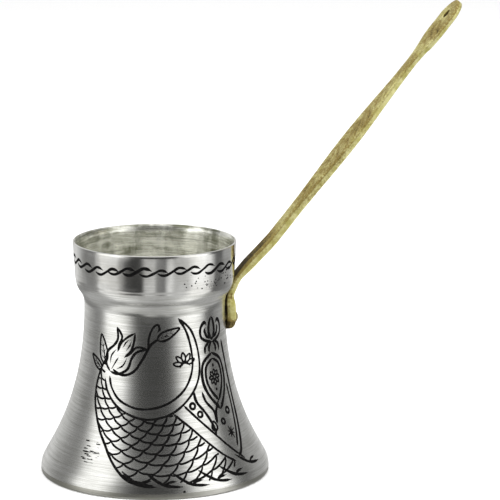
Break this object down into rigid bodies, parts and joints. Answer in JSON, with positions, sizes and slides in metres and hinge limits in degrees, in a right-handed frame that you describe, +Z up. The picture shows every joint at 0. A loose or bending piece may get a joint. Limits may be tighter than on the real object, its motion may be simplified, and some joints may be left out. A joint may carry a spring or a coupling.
{
  "type": "turkish coffee pot cezve",
  "caption": "Small Turkish coffee pot with a flared, tinned and engraved metal body and a long cast brass handle riveted to its neck.",
  "frame": {"origin": "centre of the body's flat base, on the face that stands on the table", "axes": "+Z up along the body's axis, +X towards the handle, which lies in the XZ plane"},
  "size_m": [0.1501, 0.08, 0.1631],
  "materials": {
    "tinned_body": "satin",
    "cast_brass": "satin",
    "rivet_brass": "satin",
    "engraving_black": "matte"
  },
  "bodies": {
    "root": {"pot_body": "tinned_body", "handle": "cast_brass", "rivet_left": "rivet_brass", "rivet_right": "rivet_brass"}
  },
  "joints": []
}
